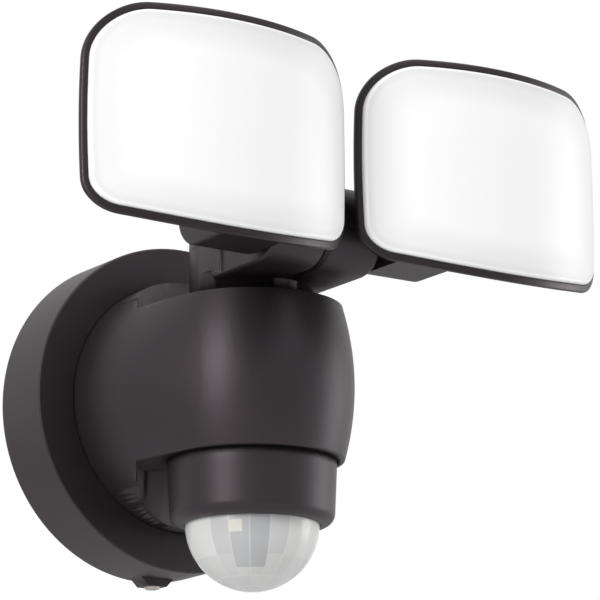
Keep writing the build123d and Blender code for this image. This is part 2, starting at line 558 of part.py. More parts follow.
# Head shell: bowed flange with a raised lip, flat-backed pan, cooling fins and the hinge knuckle.
flange = bowed_slab(RIM_DEPTH + 0.05, FLANGE_DEPTH + FLANGE_T, FLANGE_IN)
flange = chamfer(rear_loop(flange, FLANGE_DEPTH + FLANGE_T), 0.9 * FLANGE_T)
flange -= bowed_slab(0, FLANGE_DEPTH, 2.4)
shell = flange + (head_prism(PAN_Q, HEAD_Q, PAN_IN) & bow(FLANGE_DEPTH))
FIN_Q = PAN_Q - FIN_HEIGHT
FIN_X0 = HEAD_X - 3.2
FIN_STEP = 6.2
FIN_COUNT = 8
for k in range(FIN_COUNT):
    x = FIN_X0 + k * FIN_STEP
    half = 31.0 - 0.012 * (x - FIN_X0) ** 2
    fin = make_face(Polyline((PAN_Q + 0.5, HEAD_Z - half), (FIN_Q, HEAD_Z - half + 7), (FIN_Q, HEAD_Z + half - 7),
                             (PAN_Q + 0.5, HEAD_Z + half), close=True))
    shell += Pos(x, 0, 0) * extrude(side_plane() * fin, 0.8, both=True)
knuckle = rod_x(KNUCKLE_R, KNUCKLE_IN, KNUCKLE_OUT, HINGE_Q, HINGE_Z)
knuckle += block(KNUCKLE_IN, KNUCKLE_OUT, HINGE_Q, PAN_Q + 1.0, HINGE_Z - KNUCKLE_R, HINGE_Z + KNUCKLE_R)
outer_face = knuckle.faces().sort_by(Axis.X)[-1]
knuckle = fillet([e for e in outer_face.edges() if e.center().Y > -PAN_Q + 1], 1.0)
web = block(KNUCKLE_IN, KNUCKLE_OUT, PAN_Q, HEAD_Q, HINGE_Z - KNUCKLE_R, HINGE_Z) & bow(FLANGE_DEPTH + FLANGE_T / 2)
shell += knuckle + web
shell -= head_prism(PAN_Q + PAN_FLOOR, HEAD_Q + 10, PAN_IN + PAN_WALL)
WALL_K = 3.5
shell -= rod_x(KNUCKLE_R - WALL_K, KNUCKLE_IN + WALL_K, KNUCKLE_OUT - WALL_K, HINGE_Q, HINGE_Z)
shell -= block(KNUCKLE_IN + WALL_K, KNUCKLE_OUT - WALL_K, HINGE_Q, PAN_Q + PAN_FLOOR + 0.5,
               HINGE_Z - KNUCKLE_R + WALL_K, HINGE_Z + KNUCKLE_R - WALL_K)
shell -= rod_x(TUBE_R + RUN, KNUCKLE_IN - 1, KNUCKLE_IN + WALL_K + 1, HINGE_Q, HINGE_Z)
LED_STEP = 12.5
LED_ROW = 14.0
LED_W = 2.8
HEAD_SCREWS = [(HEAD_X + sx * 2.5 * LED_STEP, HEAD_Z + sz * LED_ROW) for sx in (-1, 1) for sz in (-1, 1)]
for hx, hz in HEAD_SCREWS:
    shell -= rod_q(1.15, PAN_Q + 0.4, PAN_Q + 5, hx, hz)

LED_Q = PAN_Q + PAN_FLOOR + 1.04
led_board = head_prism(PAN_Q + PAN_FLOOR + 0.02, LED_Q - 0.02, PAN_IN + PAN_WALL + GAP)
for hx, hz in HEAD_SCREWS:
    led_board -= rod_q(1.5, PAN_Q, LED_Q + 1, hx, hz)
leds = []
for ix in range(7):
    for iz in range(4):
        lx = HEAD_X + (ix - 3) * LED_STEP
        lz = HEAD_Z + (iz - 1.5) * LED_ROW
        leds.append(block(lx - LED_W / 2, lx + LED_W / 2, LED_Q, LED_Q + 0.7, lz - LED_W / 2, lz + LED_W / 2))
head_screws = [front_plane(LED_Q, hx, hz) * pan_screw(1.1, 1.9, 2.3, 1.4) for hx, hz in HEAD_SCREWS]

for part, name in ((shell, "head_shell"), (bezel, "head_bezel"), (lens, "head_lens"), (gasket, "head_gasket"),
                   (led_board, "led_board"), (Compound(children=leds), "leds"),
                   (Compound(children=head_screws), "head_screws")):
    save(part, name + "_right")
    save(mirror(part, about=Plane.YZ), name + "_left")

# ---- motion sensor ------------------------------------------------------------------------------------------
RING_TOP = PLATE_BOTTOM - GAP
ring_outer = [(0, RING_TOP), (RING_R, RING_TOP), (RING_R, -33.0), (RING_LOW_R, RING_BOTTOM), (0, RING_BOTTOM)]
collar = ring_about_axis(ring_outer)
collar = fillet(collar.edges().group_by(Axis.Z)[0], RING_ROUND)
collar -= rod_z(28.9, RING_TOP - 2.6, RING_BOTTOM + 2.6, 0, AXIS_Q)
collar -= rod_z(DOME_R + GAP, RING_BOTTOM - 1, RING_BOTTOM + 4, 0, AXIS_Q)
collar += rod_z(SPIGOT_R, RING_TOP - 0.5, -14.5, 0, AXIS_Q)
collar -= rod_z(SPIGOT_BORE_R, RING_TOP - 4, -10, 0, AXIS_Q)
BOARD_LOW = -44.0
for side in (-1, 1):
    collar += rod_z(2.8, RING_TOP - 2.0, BOARD_LOW + 1.5, side * 18.0, AXIS_Q)
    collar -= rod_z(1.05, BOARD_LOW, BOARD_LOW + 8, side * 18.0, AXIS_Q)

# Setting dials stand in round seats on the back of the collar, their axes radial.
DIAL_Z = -40.0
DIAL_ANGLES = {"dial_time": -30.0, "dial_light": 0.0, "dial_range": 30.0}
DIAL_R = 4.2
STEM_R = 1.8


def radial(angle, r, z):
    """Frame on the back of the collar, local z pointing outward."""
    a = math.radians(angle)
    return Plane(origin=(-r * math.sin(a), -AXIS_Q + r * math.cos(a), z), x_dir=(math.cos(a), math.sin(a), 0),
                 z_dir=(-math.sin(a), math.cos(a), 0))


for angle in DIAL_ANGLES.values():
    collar += radial(angle, 26.0, DIAL_Z) * Pos(0, 0, 2.7) * Cylinder(6.2, 5.4)
    collar -= radial(angle, 29.2, DIAL_Z) * Pos(0, 0, 4.0) * Cylinder(DIAL_R + GAP, 8.0)
    collar -= radial(angle, 20.0, DIAL_Z) * Pos(0, 0, 8.0) * Cylinder(STEM_R + RUN, 16.0)
save(collar, "sensor_collar")

for name, angle in DIAL_ANGLES.items():
    dial = Pos(0, 0, 1.7) * Cylinder(DIAL_R, 3.2) + Pos(0, 0, -3.8) * Cylinder(STEM_R, 8.0)
    dial -= Pos(0, 0, 3.0) * Box(1.1, 6.4, 1.4)
    dial -= Pos(0, 3.3, 3.2) * Cylinder(0.45, 0.6)
    save(radial(angle, 29.2, DIAL_Z) * dial, name)

sensor_nut = extrude(Plane.XY.offset(ROOM_BOTTOM + 0.1) * Pos(0, -AXIS_Q) * RegularPolygon(15.5, 8), 3.4)
sensor_nut -= rod_z(SPIGOT_R + 0.02, -30, -10, 0, AXIS_Q)
save(sensor_nut, "sensor_nut")

# Dome: smooth outside, facetted inside in three tiers, with a flange behind the collar's lip.
FLANGE_LOW = RING_BOTTOM + 2.65
dome = Pos(0, -AXIS_Q, DOME_Z) * Sphere(DOME_R) & block(-40, 40, 30, 130, -90, DOME_Z)
dome += rod_z(DOME_R, DOME_Z, FLANGE_LOW + 1.2, 0, AXIS_Q)
dome += rod_z(28.4, FLANGE_LOW, FLANGE_LOW + 1.2, 0, AXIS_Q)
tier_r = DOME_R - 0.6
tiers = [FLANGE_LOW + 2.0, DOME_Z, DOME_Z - 14.3, DOME_Z - 21.4, DOME_Z - 24.3]
facets = []
for z in tiers:
    r = math.sqrt(tier_r ** 2 - min(z - DOME_Z, 0) ** 2)
    facets.append(Plane.XY.offset(z) * Pos(0, -AXIS_Q) * RegularPolygon(r, DOME_SIDES))
dome -= loft(facets, ruled=True)
save(dome, "sensor_lens")

sensor_board = rod_z(23.0, BOARD_LOW - 0.02, BOARD_LOW - 1.62, 0, AXIS_Q)
for side in (-1, 1):
    sensor_board -= rod_z(1.4, -60, -30, side * 18.0, AXIS_Q)
save(sensor_board, "sensor_board")
FACE_LOW = BOARD_LOW - 1.64
board_pins = [Pos(side * 18.0, -AXIS_Q, FACE_LOW) * Rot(180, 0, 0) * pan_screw(1.0, 5.0, 2.3, 1.5) for side in (-1, 1)]
save(Compound(children=board_pins), "sensor_screws")

pir = rod_z(4.6, FACE_LOW - 0.8, FACE_LOW, 0, AXIS_Q) + rod_z(4.1, FACE_LOW - 4.2, FACE_LOW, 0, AXIS_Q)
pir -= block(-1.6, 1.6, AXIS_Q - 1.2, AXIS_Q + 1.2, FACE_LOW - 5, FACE_LOW - 3.9)
save(pir, "sensor_pir")
photocell = rod_z(2.5, FACE_LOW - 2.2, FACE_LOW, 9.5, AXIS_Q + 12.0)
save(photocell, "sensor_photocell")
choke = block(-13.5, -6.5, AXIS_Q + 8.0, AXIS_Q + 13.0, FACE_LOW - 5.5, FACE_LOW)
save(choke, "sensor_choke")

# Three potentiometers on the upper side of the board, behind the dials.
pots = []
for angle in DIAL_ANGLES.values():
    pots.append(radial(angle, 17.5, DIAL_Z) * Pos(0, 0, 2.4) * (Box(7.5, 8.0, 4.8) - Pos(0, 0, 2) * Cylinder(2.4, 3)))
save(Compound(children=pots), "sensor_pots")
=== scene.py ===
import bpy
import math
import numpy as np
from mathutils import Matrix


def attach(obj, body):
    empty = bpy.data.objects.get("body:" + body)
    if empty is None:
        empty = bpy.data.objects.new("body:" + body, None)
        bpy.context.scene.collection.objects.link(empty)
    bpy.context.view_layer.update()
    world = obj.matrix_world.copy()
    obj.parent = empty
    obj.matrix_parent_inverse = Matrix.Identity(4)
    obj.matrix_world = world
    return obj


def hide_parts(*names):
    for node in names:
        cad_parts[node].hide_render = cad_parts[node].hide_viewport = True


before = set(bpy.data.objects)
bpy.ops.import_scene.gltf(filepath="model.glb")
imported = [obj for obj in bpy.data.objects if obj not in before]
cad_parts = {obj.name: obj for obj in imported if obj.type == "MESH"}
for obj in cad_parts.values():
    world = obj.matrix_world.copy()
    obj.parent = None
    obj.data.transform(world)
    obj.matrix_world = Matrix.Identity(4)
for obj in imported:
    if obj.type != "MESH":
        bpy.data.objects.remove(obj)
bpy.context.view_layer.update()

# ---- moulded housing: drum, body, hub and sensor collar --------------------------------------------------
# One family of injection mouldings in near-black brown plastic. A fine spark-eroded grain breaks up the
# sheen, and every edge keeps the small radius that the tool leaves.


def node_group(name, inputs, outputs):
    """Empty shader group with the given (name, socket type, value) inputs and (name, socket type) outputs."""
    group = bpy.data.node_groups.new(name, "ShaderNodeTree")
    for label, kind, value in inputs:
        socket = group.interface.new_socket(name=label, in_out="INPUT", socket_type=kind)
        socket.default_value = value
    for label, kind in outputs:
        group.interface.new_socket(name=label, in_out="OUTPUT", socket_type=kind)
    return group, group.nodes.new("NodeGroupInput"), group.nodes.new("NodeGroupOutput")


def math_node(tree, operation, a, b, c=None):
    """Math node; a, b and c are numbers or sockets. Returns its output."""
    node = tree.nodes.new("ShaderNodeMath")
    node.operation = operation
    for place, value in enumerate((a, b) if c is None else (a, b, c)):
        if isinstance(value, (int, float)):
            node.inputs[place].default_value = value
        else:
            tree.links.new(value, node.inputs[place])
    return node.outputs[0]


def noise(tree, vector, scale, detail=2.0):
    """Noise texture on that vector; scale is a number or a socket. Returns its factor."""
    node = tree.nodes.new("ShaderNodeTexNoise")
    node.inputs["Detail"].default_value = detail
    tree.links.new(vector, node.inputs["Vector"])
    if isinstance(scale, (int, float)):
        node.inputs["Scale"].default_value = scale
    else:
        tree.links.new(scale, node.inputs["Scale"])
    return node.outputs["Fac"]


def build_grain():
    """Spark grain: fine noise lightens and darkens the colour, shifts the gloss and gives the height;
    a broad noise adds the slow unevenness of a large moulding."""
    group, enter, leave = node_group(
        "spark_grain",
        [("Colour", "NodeSocketColor", (0.5, 0.5, 0.5, 1)), ("Mottle", "NodeSocketFloat", 0.1),
         ("Cloud", "NodeSocketFloat", 0.06), ("Grain", "NodeSocketFloat", 2200.0),
         ("Gloss", "NodeSocketFloat", 0.45), ("Gloss spread", "NodeSocketFloat", 0.1)],
        [("Colour", "NodeSocketColor"), ("Roughness", "NodeSocketFloat"), ("Height", "NodeSocketFloat")])
    place = group.nodes.new("ShaderNodeTexCoord").outputs["Object"]
    fine = noise(group, place, enter.outputs["Grain"], 3.0)
    broad = noise(group, place, 16.0, 2.0)
    fine_shift = math_node(group, "MULTIPLY", math_node(group, "SUBTRACT", fine, 0.5),
                           enter.outputs["Mottle"])
    broad_shift = math_node(group, "MULTIPLY", math_node(group, "SUBTRACT", broad, 0.5),
                            enter.outputs["Cloud"])
    factor = math_node(group, "MULTIPLY_ADD", math_node(group, "ADD", fine_shift, broad_shift), 2.0, 1.0)
    scaled = group.nodes.new("ShaderNodeVectorMath")
    scaled.operation = "SCALE"
    group.links.new(enter.outputs["Colour"], scaled.inputs[0])
    group.links.new(factor, scaled.inputs["Scale"])
    group.links.new(scaled.outputs[0], leave.inputs["Colour"])
    rough = math_node(group, "MULTIPLY_ADD", math_node(group, "SUBTRACT", fine, 0.5),
                      enter.outputs["Gloss spread"], enter.outputs["Gloss"])
    group.links.new(rough, leave.inputs["Roughness"])
    group.links.new(fine, leave.inputs["Height"])
    return group


spark_grain = build_grain()


def grained(name, colour, mottle=0.1, cloud=0.06, grain=2200.0, gloss=0.45, spread=0.1, bump=0.2,
            depth=0.00008, edge=0.00035, specular=0.5, sheen=(1.0, 1.0, 1.0)):
    """Material with the spark grain, softened edges of that radius, a bump of that depth in metres, and
    reflections of the colour sheen."""
    material = bpy.data.materials.new(name)
    material.use_nodes = True
    tree = material.node_tree
    shader = tree.nodes["Principled BSDF"]
    shader.inputs["Specular IOR Level"].default_value = specular
    shader.inputs["Specular Tint"].default_value = (*sheen, 1)
    group = tree.nodes.new("ShaderNodeGroup")
    group.node_tree = spark_grain
    group.inputs["Colour"].default_value = (*colour, 1)
    for label, value in (("Mottle", mottle), ("Cloud", cloud), ("Grain", grain), ("Gloss", gloss),
                         ("Gloss spread", spread)):
        group.inputs[label].default_value = value
    relief = tree.nodes.new("ShaderNodeBump")
    relief.inputs["Strength"].default_value = bump
    relief.inputs["Distance"].default_value = depth
    rounding = tree.nodes.new("ShaderNodeBevel")
    rounding.samples = 4
    rounding.inputs["Radius"].default_value = edge
    tree.links.new(rounding.outputs["Normal"], relief.inputs["Normal"])
    tree.links.new(group.outputs["Colour"], shader.inputs["Base Color"])
    tree.links.new(group.outputs["Roughness"], shader.inputs["Roughness"])
    tree.links.new(group.outputs["Height"], relief.inputs["Height"])
    tree.links.new(relief.outputs["Normal"], shader.inputs["Normal"])
    return material


def dressed(node, material, body, angle=32.0):
    """Merged copy of a solid with smooth shading up to that edge angle. It stands for the solid."""
    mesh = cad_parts[node].data.copy()
    mesh.name = node + "_skin"
    piece = bpy.data.objects.new(node + "_skin", mesh)
    bpy.context.scene.collection.objects.link(piece)
    bpy.context.view_layer.objects.active = piece
    bpy.ops.object.select_all(action="DESELECT")
    piece.select_set(True)
    bpy.ops.object.mode_set(mode="EDIT")
    bpy.ops.mesh.select_all(action="SELECT")
    bpy.ops.mesh.remove_doubles(threshold=0.000002)
    bpy.ops.object.mode_set(mode="OBJECT")
    mesh.materials.clear()
    mesh.materials.append(material)
    mesh.shade_smooth()
    mesh.set_sharp_from_angle(angle=math.radians(angle))
    weighted = piece.modifiers.new("weighted", "WEIGHTED_NORMAL")
    weighted.keep_sharp = True
    weighted.weight = 100
    bpy.ops.object.modifier_apply(modifier=weighted.name)
    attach(piece, body)
    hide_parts(node)


HOUSING = (0.0126, 0.0092, 0.0106)
BROWN_SHEEN = (1.0, 0.86, 0.94)
housing = grained("housing_grain", HOUSING, mottle=0.22, cloud=0.08, grain=1900.0, gloss=0.47, spread=0.12,
                  bump=0.35, depth=0.00006, edge=0.0004, specular=0.56, sheen=BROWN_SHEEN)
for node, body in (("base_drum", "base"), ("body_housing", "base"), ("hub_base", "hub"),
                   ("hub_cover", "hub"), ("sensor_collar", "sensor")):
    dressed(node, housing, body)

# ---- wall bracket and its earth screw --------------------------------------------------------------------
# Pressed steel plate against the wall, zinc plated: a dull bright metal with faint crystal spangle.
# The hook at its top and the tab at its foot hold the drum.


def build_spangle():
    """Zinc spangle: Voronoi cells give each crystal its own shade and gloss, a fine noise the plating."""
    group, enter, leave = node_group(
        "zinc_spangle",
        [("Colour", "NodeSocketColor", (0.6, 0.6, 0.6, 1)), ("Cells", "NodeSocketFloat", 260.0),
         ("Spread", "NodeSocketFloat", 0.2), ("Gloss", "NodeSocketFloat", 0.35)],
        [("Colour", "NodeSocketColor"), ("Roughness", "NodeSocketFloat"), ("Height", "NodeSocketFloat")])
    place = group.nodes.new("ShaderNodeTexCoord").outputs["Object"]
    cells = group.nodes.new("ShaderNodeTexVoronoi")
    group.links.new(place, cells.inputs["Vector"])
    group.links.new(enter.outputs["Cells"], cells.inputs["Scale"])
    split = group.nodes.new("ShaderNodeSeparateColor")
    group.links.new(cells.outputs["Color"], split.inputs[0])
    shade = math_node(group, "MULTIPLY_ADD", math_node(group, "SUBTRACT", split.outputs[0], 0.5),
                      enter.outputs["Spread"], 1.0)
    scaled = group.nodes.new("ShaderNodeVectorMath")
    scaled.operation = "SCALE"
    group.links.new(enter.outputs["Colour"], scaled.inputs[0])
    group.links.new(shade, scaled.inputs["Scale"])
    group.links.new(scaled.outputs[0], leave.inputs["Colour"])
    fine = noise(group, place, 1500.0, 2.0)
    rough = math_node(group, "MULTIPLY_ADD", math_node(group, "SUBTRACT", split.outputs[1], 0.5), 0.16,
                      enter.outputs["Gloss"])
    rough = math_node(group, "MULTIPLY_ADD", math_node(group, "SUBTRACT", fine, 0.5), 0.1, rough)
    group.links.new(rough, leave.inputs["Roughness"])
    group.links.new(fine, leave.inputs["Height"])
    return group


zinc_spangle = build_spangle()


def plated(name, colour, cells, spread, gloss, bump=0.15):
    """Metal with the spangle group; small screws use small cells."""
    material = bpy.data.materials.new(name)
    material.use_nodes = True
    tree = material.node_tree
    shader = tree.nodes["Principled BSDF"]
    shader.inputs["Metallic"].default_value = 1.0
    group = tree.nodes.new("ShaderNodeGroup")
    group.node_tree = zinc_spangle
    group.inputs["Colour"].default_value = (*colour, 1)
    for label, value in (("Cells", cells), ("Spread", spread), ("Gloss", gloss)):
        group.inputs[label].default_value = value
    relief = tree.nodes.new("ShaderNodeBump")
    relief.inputs["Strength"].default_value = bump
    relief.inputs["Distance"].default_value = 0.00004
    rounding = tree.nodes.new("ShaderNodeBevel")
    rounding.samples = 4
    rounding.inputs["Radius"].default_value = 0.00025
    tree.links.new(rounding.outputs["Normal"], relief.inputs["Normal"])
    tree.links.new(group.outputs["Colour"], shader.inputs["Base Color"])
    tree.links.new(group.outputs["Roughness"], shader.inputs["Roughness"])
    tree.links.new(group.outputs["Height"], relief.inputs["Height"])
    tree.links.new(relief.outputs["Normal"], shader.inputs["Normal"])
    return material


zinc = plated("bracket_zinc", (0.62, 0.62, 0.61), 240.0, 0.22, 0.38)
dressed("wall_bracket", zinc, "base")

# ---- screws ----------------------------------------------------------------------------------------------
# Pan-head machine and self-tapping screws with a cross recess. Bright zinc on the inside ones; the clamp
# screw under the drum is stainless and catches the light below the rim.
screw_zinc = plated("screw_zinc", (0.56, 0.56, 0.55), 900.0, 0.15, 0.3)
clamp_steel = plated("clamp_steel", (0.5, 0.46, 0.42), 1200.0, 0.12, 0.33)
for node, body in (("earth_screw", "base"), ("terminal_screws", "base"), ("body_screws", "base"),
                   ("board_screws", "base"), ("hub_screws", "hub"), ("sensor_screws", "sensor"),
                   ("head_screws_right", "head_right"), ("head_screws_left", "head_left")):
    dressed(node, screw_zinc, body)
dressed("clamp_screw", clamp_steel, "base")

# ---- rubber: grommet, drum gasket, body seal and lens gaskets --------------------------------------------
# Black rubber with a dull bloom: a grommet in the bracket's inlet, a foam ring between drum and wall, a ring
# at the body's seam and one under each diffuser.
rubber = grained("seal_rubber", (0.022, 0.022, 0.023), mottle=0.16, cloud=0.2, grain=1300.0, gloss=0.68,
                 spread=0.14, bump=0.25, edge=0.0003, specular=0.35)
for node, body in (("cable_grommet", "base"), ("base_gasket", "base"), ("body_seal", "base"),
                   ("head_gasket_right", "head_right"), ("head_gasket_left", "head_left")):
    dressed(node, rubber, body)

# ---- supply side inside the drum and body ----------------------------------------------------------------
# Nylon terminal block, and a glass-fibre driver board with a taped transformer, capacitors and a relay.
# None of it shows once the light is shut.


def build_tracks():
    """Printed board: brick pattern stands for tracks under the solder mask, with fine weave noise."""
    group, enter, leave = node_group(
        "board_tracks",
        [("Colour", "NodeSocketColor", (0.05, 0.2, 0.08, 1)),
         ("Track", "NodeSocketColor", (0.09, 0.3, 0.12, 1)), ("Pitch", "NodeSocketFloat", 160.0)],
        [("Colour", "NodeSocketColor"), ("Roughness", "NodeSocketFloat"), ("Height", "NodeSocketFloat")])
    place = group.nodes.new("ShaderNodeTexCoord").outputs["Object"]
    bricks = group.nodes.new("ShaderNodeTexBrick")
    group.links.new(place, bricks.inputs["Vector"])
    group.links.new(enter.outputs["Pitch"], bricks.inputs["Scale"])
    group.links.new(enter.outputs["Colour"], bricks.inputs["Color1"])
    group.links.new(enter.outputs["Colour"], bricks.inputs["Color2"])
    group.links.new(enter.outputs["Track"], bricks.inputs["Mortar"])
    bricks.inputs["Mortar Size"].default_value = 0.06
    fine = noise(group, place, 1800.0, 2.0)
    group.links.new(bricks.outputs["Color"], leave.inputs["Colour"])
    group.links.new(math_node(group, "MULTIPLY_ADD", fine, 0.2, 0.28), leave.inputs["Roughness"])
    group.links.new(math_node(group, "ADD", bricks.outputs["Fac"], fine), leave.inputs["Height"])
    return group


board_tracks = build_tracks()


def printed(name, colour, track, pitch):
    """Circuit board material from the track group."""
    material = bpy.data.materials.new(name)
    material.use_nodes = True
    tree = material.node_tree
    shader = tree.nodes["Principled BSDF"]
    group = tree.nodes.new("ShaderNodeGroup")
    group.node_tree = board_tracks
    group.inputs["Colour"].default_value = (*colour, 1)
    group.inputs["Track"].default_value = (*track, 1)
    group.inputs["Pitch"].default_value = pitch
    relief = tree.nodes.new("ShaderNodeBump")
    relief.inputs["Strength"].default_value = 0.3
    relief.inputs["Distance"].default_value = 0.00005
    tree.links.new(group.outputs["Colour"], shader.inputs["Base Color"])
    tree.links.new(group.outputs["Roughness"], shader.inputs["Roughness"])
    tree.links.new(group.outputs["Height"], relief.inputs["Height"])
    tree.links.new(relief.outputs["Normal"], shader.inputs["Normal"])
    return material


green_board = printed("board_green", (0.03, 0.17, 0.06), (0.06, 0.27, 0.1), 150.0)
nylon = grained("terminal_nylon", (0.78, 0.78, 0.74), mottle=0.04, gloss=0.42, bump=0.1)
tape = grained("winding_tape", (0.72, 0.5, 0.06), mottle=0.1, cloud=0.15, grain=900.0, gloss=0.4)
can_dark = grained("capacitor_sleeve", (0.05, 0.06, 0.11), mottle=0.08, gloss=0.3)
relay_blue = grained("relay_case", (0.03, 0.1, 0.3), mottle=0.06, gloss=0.35)
for node, material, slot in (("terminal_block", nylon, "terminal_nylon"),
                             ("driver_board", green_board, "board_green"),
                             ("driver_transformer", tape, "transformer_tape"),
                             ("driver_capacitors", can_dark, "capacitor_can"),
                             ("driver_relay", relay_blue, "relay_case")):
    dressed(node, material, "base")

# ---- swivel: nuts, slip ring, threaded tubes and washers -------------------------------------------------
# The hub's stem turns on a nylon ring under a plastic nut. Steel tubes through the cheeks carry the heads,
# and the washers beside them give the friction that holds a head where it is set.
nut_black = grained("nut_plastic", (0.05, 0.05, 0.052), mottle=0.1, gloss=0.5)
for node, material, body, slot in (
        ("hub_nut", nut_black, "hub", "nut_plastic"), ("hub_slip_ring", nylon, "hub", "slip_nylon"),
        ("hinge_washers", nut_black, "hub", "slip_nylon"), ("hinge_tubes", screw_zinc, "hub", "hinge_steel"),
        ("hinge_inner_nuts", screw_zinc, "hub", "hinge_steel"),
        ("hinge_outer_nuts", screw_zinc, "hub", "hinge_steel"),
        ("spring_washers", screw_zinc, "hub", "hinge_steel"),
        ("sensor_nut", nut_black, "sensor", "nut_plastic")):
    dressed(node, material, body)

# ---- light heads -----------------------------------------------------------------------------------------
# Two lamps whose fronts are bowed about an upright line behind them: die-cast backs with cooling fins, powder
# coated, moulded rims pressed over them, and opal diffusers that stand out of the rims. Behind each diffuser
# is a white board with rows of LEDs. Rims and diffusers are a little narrower here than the solids.
HEAD_MIDDLE = 0.0593        # from the light's middle plane to the middle of a head
HEAD_HEIGHT = 0.073         # of that middle over the base's middle
BOW_LINE = 0.0606           # from the wall to the upright line that the front is bowed about
BOW_R = 0.1014              # radius of the bow
HALF_W, HALF_H = 0.0568, 0.04138
TOP_ARC, LOW_ARC, SIDE_ARC = 3.0, 0.25, 0.54    # radii of the bowed edges
TOP_CORNER, LOW_CORNER = 0.0222, 0.0142         # radii of the round corners


def corner_middle(arc, arc_r, side, side_r, corner_r):
    """Middle of the round corner inside two arcs: it lies arc_r - corner_r from one arc's middle and
    side_r - corner_r from the other's. Of the two such points, the one with the larger x."""
    r0, r1 = arc_r - corner_r, side_r - corner_r
    apart = math.dist(arc, side)
    along = (r0 ** 2 - r1 ** 2 + apart ** 2) / (2 * apart)
    off = math.sqrt(r0 ** 2 - along ** 2)
    ux, uz = (side[0] - arc[0]) / apart, (side[1] - arc[1]) / apart
    return max((arc[0] + along * ux + s * off * uz, arc[1] + along * uz - s * off * ux) for s in (-1, 1))


def head_edge():
    """Outline of a head: four bowed edges and four round corners, each an arc that starts in the direction
    in which the last one ends. Returns points (x, z) and outward normals; the line at an inset is
    point - inset * normal, because each arc then keeps its middle and its angles."""
    top, low, side = (0.0, HALF_H - TOP_ARC), (0.0, LOW_ARC - HALF_H), (HALF_W - SIDE_ARC, 0.0)
    high = corner_middle(top, TOP_ARC, side, SIDE_ARC, TOP_CORNER)
    deep = corner_middle(low, LOW_ARC, side, SIDE_ARC, LOW_CORNER)
    turn = [math.atan2(b[1] - a[1], b[0] - a[0])
            for a, b in ((low, deep), (side, deep), (side, high), (top, high))]
    arcs = [(side, SIDE_ARC, turn[1], turn[2], 60), (high, TOP_CORNER, turn[2], turn[3], 44),
            (top, TOP_ARC, turn[3], math.pi - turn[3], 90),
            ((-high[0], high[1]), TOP_CORNER, math.pi - turn[3], math.pi - turn[2], 44),
            ((-side[0], 0.0), SIDE_ARC, math.pi - turn[2], math.pi - turn[1], 60),
            ((-deep[0], deep[1]), LOW_CORNER, math.pi - turn[1], math.pi - turn[0], 36),
            (low, LOW_ARC, math.pi - turn[0], 2 * math.pi + turn[0], 90),
            (deep, LOW_CORNER, turn[0], turn[1], 36)]
    angle = np.concatenate([np.linspace(a, b, n, endpoint=False) for _, _, a, b, n in arcs])
    middle = np.concatenate([np.tile(c, (n, 1)) for c, _, _, _, n in arcs])
    radius = np.concatenate([np.full(n, r) for _, r, _, _, n in arcs])
    normal = np.stack((np.cos(angle), np.sin(angle)), axis=-1)
    return middle + radius[:, None] * normal, normal


def bowed_rings(inset, depth, share, side):
    """Rings on a head's front, one for each (inset, depth, share): the outline moved in by inset, less at
    the sides by the factor 1 - (x / BOW_R)^2, drawn towards the middle to that share of its size, and laid
    at that depth below the front, where y = -(BOW_LINE + sqrt((BOW_R - depth)^2 - x^2)). side is 1 for
    right and -1 for left."""
    edge, normal = head_edge()
    normal[:, 0] *= 1 - (edge[:, 0] / BOW_R) ** 2
    flat = (edge[None] - np.asarray(inset)[:, None, None] * normal[None]) * np.asarray(share)[:, None, None]
    y = -(BOW_LINE + np.sqrt((BOW_R - np.asarray(depth)[:, None]) ** 2 - flat[..., 0] ** 2))
    return np.stack((side * HEAD_MIDDLE + flat[..., 0], y, HEAD_HEIGHT + flat[..., 1]), axis=-1)


def rounded(middle, radius, start, end, count=6):
    """Points of an arc in a section, as (inset, depth) pairs in mm; 0 degrees points to more inset and 90 to
    more depth."""
    angle = np.radians(np.linspace(start, end, count))
    return [(middle[0] + radius * math.cos(a), middle[1] + radius * math.sin(a)) for a in angle]


def grid_mesh(name, points, loop=False, caps=False):
    """Mesh of quads over a grid of points whose columns run once round. With loop the last row joins the
    first; with caps the first and last rows are closed. A closed mesh that is inside out is turned."""
    rows, cols = points.shape[:2]
    index = np.arange(rows * cols).reshape(rows, cols)
    if loop:
        index = np.vstack((index, index[:1]))
    right = np.roll(index, -1, axis=1)
    faces = np.stack((index[:-1], index[1:], right[1:], right[:-1]), axis=-1).reshape(-1, 4).tolist()
    if caps:
        faces += [index[0].tolist(), index[-1][::-1].tolist()]
    mesh = bpy.data.meshes.new(name)
    mesh.from_pydata(points.reshape(-1, 3).tolist(), [], faces)
    mesh.update()
    corner = points.reshape(-1, 3) - points.reshape(-1, 3).mean(axis=0)
    quad = corner[np.array(faces[:(len(index) - 1) * cols])]
    volume = (np.einsum("ij,ij->i", quad[:, 0], np.cross(quad[:, 1], quad[:, 2]))
              + np.einsum("ij,ij->i", quad[:, 0], np.cross(quad[:, 2], quad[:, 3]))).sum()
    if (loop or caps) and volume < 0:
        mesh.flip_normals()
    return mesh


# Points of the rim's section as (inset, depth) in mm.
RIM_SECTION = ([(1.2, 2.5), (0.0, 1.35)] + rounded((0.55, 0.6), 0.55, 180, 268)
               + [(1.2, 0.03), (1.9, 0.0)] + rounded((2.5, 0.3), 0.3, 268, 360, 5)
               + [(2.8, 1.3), (2.2, 1.3), (2.2, 2.5)])


def rim_surface(side):
    """Rim: RIM_SECTION, a flat band with rounded edges and a slanted back, carried round the outline."""
    section = np.array(RIM_SECTION) / 1000
    return bowed_rings(section[:, 0], section[:, 1], np.ones(len(section)), side)


MIDDLE_RINGS = 15           # rings between the middle of a diffuser and its border, on each face


